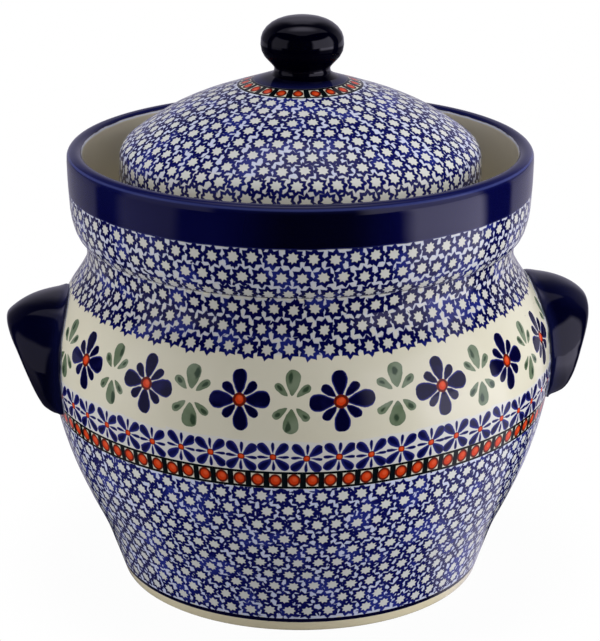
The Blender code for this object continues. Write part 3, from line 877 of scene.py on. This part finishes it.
def collar_outline():
    corners = [(MOUTH_RADIUS, ON_LEDGE, 0.0), (COLLAR_RADIUS, ON_LEDGE, 0.0),
               (COLLAR_RADIUS, COLLAR_TOP, LIP_ROUNDING), (MOUTH_RADIUS, COLLAR_TOP, LIP_ROUNDING),
               (MOUTH_RADIUS, ON_LEDGE, 0.0)]
    return rounded(corners)


def lid_outline():
    """From the middle of the dome out over the shoulder, down the skirt and back up inside."""
    shoulder = (SKIRT_OUTER, SHOULDER_HEIGHT)
    dome = smooth_curve(between((0.0, LID_TOP), shoulder, DOME_TO_SHOULDER), 24)
    skirt_inner = SKIRT_OUTER - LID_WALL
    under = [(r, z) for r, z in inset(dome[::-1], LID_WALL) if 0.0 < r < skirt_inner - LID_WALL / 2]
    skirt_foot = SKIRT_OUTER + SKIRT_FLARE
    corners = [(r, z, 0.0) for r, z in dome]
    corners += [(skirt_foot, ON_LEDGE, SKIRT_EDGE_ROUNDING),
                (skirt_foot - LID_WALL, ON_LEDGE, SKIRT_EDGE_ROUNDING), (skirt_inner, SHOULDER_HEIGHT, 0.0)]
    corners += [(r, z, 0.0) for r, z in under] + [(0.0, LID_TOP - LID_WALL, 0.0)]
    return rounded(corners)


def knob_outline():
    """From the top of the squared ball down its neck to the foot, and back under it."""
    power = 2 / KNOB_SQUARENESS
    ball = []
    for step in range(61):
        angle = math.radians(2.0 * step)
        rise = math.copysign(abs(math.cos(angle)) ** power, math.cos(angle))
        ball.append((KNOB_RADIUS * math.sin(angle) ** power, KNOB_CENTRE + KNOB_HALF_HEIGHT * rise))
    neck = smooth_curve([ball[-1], *KNOB_NECK], 10)
    return ball + neck[1:] + [(0.0, neck[-1][1])]


def turned_piece(name, outline, star_rows, painted_to, start=0.0, drift=False):
    """A thrown piece with its maps. Distances along its outline are counted from the given start."""
    row_edges = [start + (row + side * STAR_CELL / 2) for row in star_rows for side in (-1, 1)]
    outline, places = with_rings(outline, row_edges)
    pot = throw(name, outline)
    mark_wall(pot, outline, [place - start for place in places], star_rows, painted_to, drift)
    return pot


def lift_gas_notches(lid):
    """Raise the skirt's lower edge at a few places, where gas bubbles out through the water."""
    for vert in lid.data.vertices:
        angle = math.atan2(vert.co.y, vert.co.x) % (math.tau / NOTCH_COUNT) - math.pi / NOTCH_COUNT
        if vert.co.z < ON_LEDGE + 2 * SKIRT_EDGE_ROUNDING:
            vert.co.z += NOTCH_HEIGHT * smooth_step(2.0 - abs(angle) / NOTCH_HALF_ANGLE, 0.0, 1.0)


def placed(name, data):
    thing = bpy.data.objects.new(name, data)
    bpy.context.collection.objects.link(thing)
    return thing


def pulled_handle(node, pulls):
    """The ear handle, smoothed and pulled into shape, with its roots pressed onto the jar's wall."""
    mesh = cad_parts[node].data.copy()
    handle = placed(node + "_glazed", mesh)
    mesh.name = handle.name
    bpy.ops.object.select_all(action="DESELECT")
    handle.select_set(True)
    bpy.context.view_layer.objects.active = handle
    bpy.ops.object.mode_set(mode="EDIT")
    bpy.ops.mesh.select_all(action="SELECT")
    bpy.ops.mesh.remove_doubles(threshold=0.00002)
    bpy.ops.mesh.tris_convert_to_quads(face_threshold=math.radians(60.0), shape_threshold=math.radians(60.0))
    bpy.ops.object.mode_set(mode="OBJECT")
    smooth = handle.modifiers.new("smoothed clay", "SUBSURF")
    smooth.levels = 2
    smooth.render_levels = 2
    bpy.ops.object.modifier_apply(modifier=smooth.name)
    wall = jar_outline()[0]
    stands = []
    points = [(height, out * MM, up * MM) for height, (out, up) in zip(PULL_HEIGHTS, pulls)]
    heights, outs, ups = zip(*smooth_curve(points, 8))
    for vert in handle.data.vertices:
        around = math.hypot(vert.co.x, vert.co.y)
        surface = radius_at(wall, vert.co.z)
        stand = around - surface
        if stand < ROOT_HOLD:
            sunk = surface - ROOT_SINK + max(stand, 0.0) * 0.5
            vert.co.x *= sunk / around
            vert.co.y *= sunk / around
        else:
            share = min(1.0, (stand - ROOT_HOLD) / ROOT_BLEND)
            vert.co.y *= 1.0 - EAR_TAPER * min(1.0, (stand - ROOT_HOLD) / EAR_REACH)
            vert.co.x += math.copysign(share, vert.co.x) * float(np.interp(vert.co.z, heights, outs))
            vert.co.z += share * float(np.interp(vert.co.z, heights, ups))
        stands.append(max(0.0, math.hypot(vert.co.x, vert.co.y) - radius_at(wall, vert.co.z)))
    corners = np.empty(len(handle.data.loops), int)
    handle.data.loops.foreach_get("vertex_index", corners)
    lay_out(handle, "stand", np.array(stands)[corners] / MM, np.zeros(len(corners)))
    bpy.ops.object.shade_smooth()
    return handle


def show(piece, material, node, body):
    piece.data.materials.clear()
    piece.data.materials.append(material)
    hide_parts(node)
    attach(piece, body)


def build_crock():
    stamp = star_stamp()
    ears = glaze("handle_glaze", handle_paint)
    cream = glaze("cream_glaze", clay_ground)

    outline, wall_length = jar_outline()
    crease = (CREASE_RADIUS, LEDGE_HEIGHT)
    to_crease = run_lengths(outline)[min(range(len(outline)), key=lambda i: math.dist(outline[i], crease))]
    jar = turned_piece("jar_glazed", outline, JAR_STAR_ROWS, wall_length, to_crease - wall_length, drift=True)
    show(jar, glaze("jar_glaze", jar_paint, stamp), "jar", "crock")

    channel = turned_piece("channel_glazed", channel_outline(), CHANNEL_STAR_ROWS, COBALT_TO)
    show(channel, glaze("channel_glaze", channel_paint, stamp), "water_channel", "crock")

    collar = turned_piece("collar_glazed", collar_outline(), [], PLAIN_PAINTED_TO)
    show(collar, cream, "collar", "crock")

    lid = turned_piece("lid_glazed", lid_outline(), LID_STAR_ROWS, LID_PAINTED_TO)
    lift_gas_notches(lid)
    show(lid, glaze("lid_glaze", lid_paint, stamp, specular=0.32), "lid", "lid")

    knob = turned_piece("knob_glazed", knob_outline(), [], PLAIN_PAINTED_TO)
    knob.location.x = KNOB_LEAN
    bpy.ops.object.transform_apply(location=True, rotation=False, scale=False)
    show(knob, knob_glaze(), "lid_knob", "lid")

    for side in ("left", "right"):
        node = "handle_" + side
        show(pulled_handle(node, HANDLE_PULLS[side]), ears, node, "crock")
        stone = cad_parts["weight_" + side]
        stone.data.materials.clear()
        stone.data.materials.append(cream)


def build_studio():
    camera_data = bpy.data.cameras.new("camera")
    camera = placed("camera", camera_data)
    camera.location = (-CAMERA_DISTANCE * math.sin(CAMERA_TURN), -CAMERA_DISTANCE * math.cos(CAMERA_TURN),
                       CAMERA_AIM + CAMERA_DISTANCE * math.tan(CAMERA_PITCH))
    camera.rotation_euler = (math.pi / 2 - CAMERA_PITCH, 0.0, -CAMERA_TURN)
    camera_data.sensor_fit = "HORIZONTAL"
    camera_data.sensor_width = 36.0
    camera_data.lens = CAMERA_LENS
    camera_data.shift_x = CAMERA_SHIFT
    bpy.context.scene.camera = camera
    bpy.context.scene.view_settings.view_transform = "Standard"

    for name, place, size, power in SOFTBOXES:
        light_data = bpy.data.lights.new(name, "AREA")
        light_data.shape = "RECTANGLE"
        light_data.size, light_data.size_y = size
        light_data.energy = power
        light = placed(name, light_data)
        light.location = place
        light.visible_glossy = False
        aim = Vector((-place[0], -place[1], SOFTBOX_AIM - place[2]))
        light.rotation_euler = aim.to_track_quat("-Z", "Y").to_euler()

    bpy.ops.object.select_all(action="DESELECT")
    bpy.ops.mesh.primitive_plane_add(size=FLOOR_SIZE, location=(0.0, 0.0, FLOOR_TOP))
    floor = bpy.context.object
    floor.name = "floor"
    floor.data.name = "floor"
    bpy.ops.object.transform_apply(location=True, rotation=False, scale=False)
    floor.data.materials.append(floor_paper())
    studio_world()


def mirrored_light(r, x, y, boxes, falloff, backdrop, glow, wings):
    """Brightness that the glaze mirrors from the studio, in a direction x, y from the pot.

    The softboxes are dimmed by falloff. The backdrop behind the pot is as bright as given, keeps the share
    called wings of that towards its sides, and glows in its middle.
    """
    cosine, sine = math.cos(CAMERA_TURN), math.sin(CAMERA_TURN)
    right = r.minus(r.times(x, cosine), r.times(y, sine))
    near = r.minus(r.times(x, -sine), r.times(y, cosine))
    bearing = r.times(r.sum("ARCTAN2", right, near), 180 / math.pi)
    side = r.sum("DIVIDE", right, r.sum("MAXIMUM", r.length(right, near), MM))
    back = r.sum("MAXIMUM", r.ramp(bearing, *BACKDROP_EDGES[0]), r.ramp(bearing, *BACKDROP_EDGES[1]))
    wide = r.size(side)
    level = r.plus(0.42, r.times(side, 0.16))
    kept = r.minus(1.0, r.times(r.ramp(wide, 0.40, 0.65), 1.0 - wings))
    behind = r.plus(r.times(level, kept, backdrop), r.times(glow, r.ramp(wide, 0.40, 0.10)))
    light = r.plus(MIRRORED_ROOM, r.times(back, behind))
    for first, last, brightness in boxes:
        box = r.times(r.ramp(bearing, first - 5, first + 5), r.ramp(bearing, last + 4, last - 4))
        light = r.plus(light, r.times(box, brightness, falloff))
    return light, right, near


def by_ray(r, surface, mirrored, plain, share=1.0):
    """The surface, with another one for glossy rays and a plain one for a share of what the camera sees."""
    rays = r.add("LightPath", {}).outputs
    seen = r.sum("MAXIMUM", rays["Is Camera Ray"], rays["Is Transmission Ray"])
    for amount, layer in ((rays["Is Glossy Ray"], mirrored), (r.times(share, seen), plain)):
        surface = r.add("MixShader", {0: amount, 1: surface, 2: layer.outputs[0]}).outputs[0]
    return surface


def floor_paper():
    """White paper that takes a soft shadow near the pot and is plain white further out."""
    material = bpy.data.materials.new("floor_paper")
    material.use_nodes = True
    nodes = material.node_tree.nodes
    r = Recipe(material.node_tree)
    paper = r.fill(nodes["Principled BSDF"], {"Base Color": (PAPER_TINT, PAPER_TINT, PAPER_TINT, 1.0),
                                              "Roughness": 0.9, "Specular IOR Level": 0.1})
    x, y, _ = r.parts(r.spot())
    reach = r.length(x, y)
    falloff = r.plus(0.40, r.ramp(reach, 0.25, 0.80))
    mirrored, _, _ = mirrored_light(r, x, y, MIRRORED_PAPER, falloff, backdrop=1.0, glow=0.0, wings=1.0)
    sheen = r.add("Emission", {"Color": MIRRORED_TINT, "Strength": mirrored})
    share = r.plus(PAPER_GLOW, r.times(r.ramp(reach, 0.13, 0.20), 1.0 - PAPER_GLOW))
    surface = by_ray(r, paper.outputs[0], sheen, r.add("Emission", {}), share)
    r.fill(nodes["Material Output"], {"Surface": surface})
    return material


def studio_world():
    """Soft light from all round, a white backdrop to look at, and softboxes that the glaze mirrors."""
    world = bpy.data.worlds.new("studio")
    bpy.context.scene.world = world
    world.use_nodes = True
    tree = world.node_tree
    r = Recipe(tree)
    soft = r.fill(tree.nodes["Background"], {"Color": WHITE, "Strength": WORLD_STRENGTH})
    x, y, z = r.parts(r.add("TexCoord", {}).outputs["Generated"])
    # the softboxes end 40 degrees up, and the backdrop dims with its height but glows in its upper middle
    low = r.ramp(z, math.sin(math.radians(43)), math.sin(math.radians(37)))
    backdrop = r.plus(r.times(r.ramp(z, 0.80, 0.15), 0.96), 0.04)
    glow = r.times(r.ramp(z, 0.30, 0.62), r.ramp(z, 0.85, 0.77), 0.44)
    light, right, near = mirrored_light(r, x, y, MIRRORED_BOXES, low, backdrop, glow, wings=0.45)
    # overhead there are a round lamp and a pointed hood, told apart by where a level ceiling is met
    height = r.sum("MAXIMUM", z, MM)
    across = r.sum("DIVIDE", right, height)
    ahead = r.sum("DIVIDE", near, height)
    light = r.times(light, r.sum("MAXIMUM", r.ramp(ahead, -0.36, -0.46), r.ramp(z, 0.60, 0.50)))
    lamp = r.ramp(r.length(r.times(across, 1 / 0.55), r.times(r.plus(ahead, 0.16), 1 / 0.30)), 1.0, 0.2)
    hood_edge = r.minus(r.plus(r.size(across), ahead), 0.60)
    hood = r.times(r.ramp(hood_edge, 0.06, -0.06), r.within(ahead, -0.42, 0.45, soft=0.05))
    overhead = r.times(r.plus(r.times(lamp, 1.2), r.times(hood, 0.36)), r.ramp(z, 0.1, 0.2))
    studio = r.add("Background", {"Color": MIRRORED_TINT, "Strength": r.sum("MAXIMUM", light, overhead)})
    surface = by_ray(r, soft.outputs[0], studio, r.add("Background", {"Color": WHITE}))
    r.fill(tree.nodes["World Output"], {"Surface": surface})


build_crock()
build_studio()
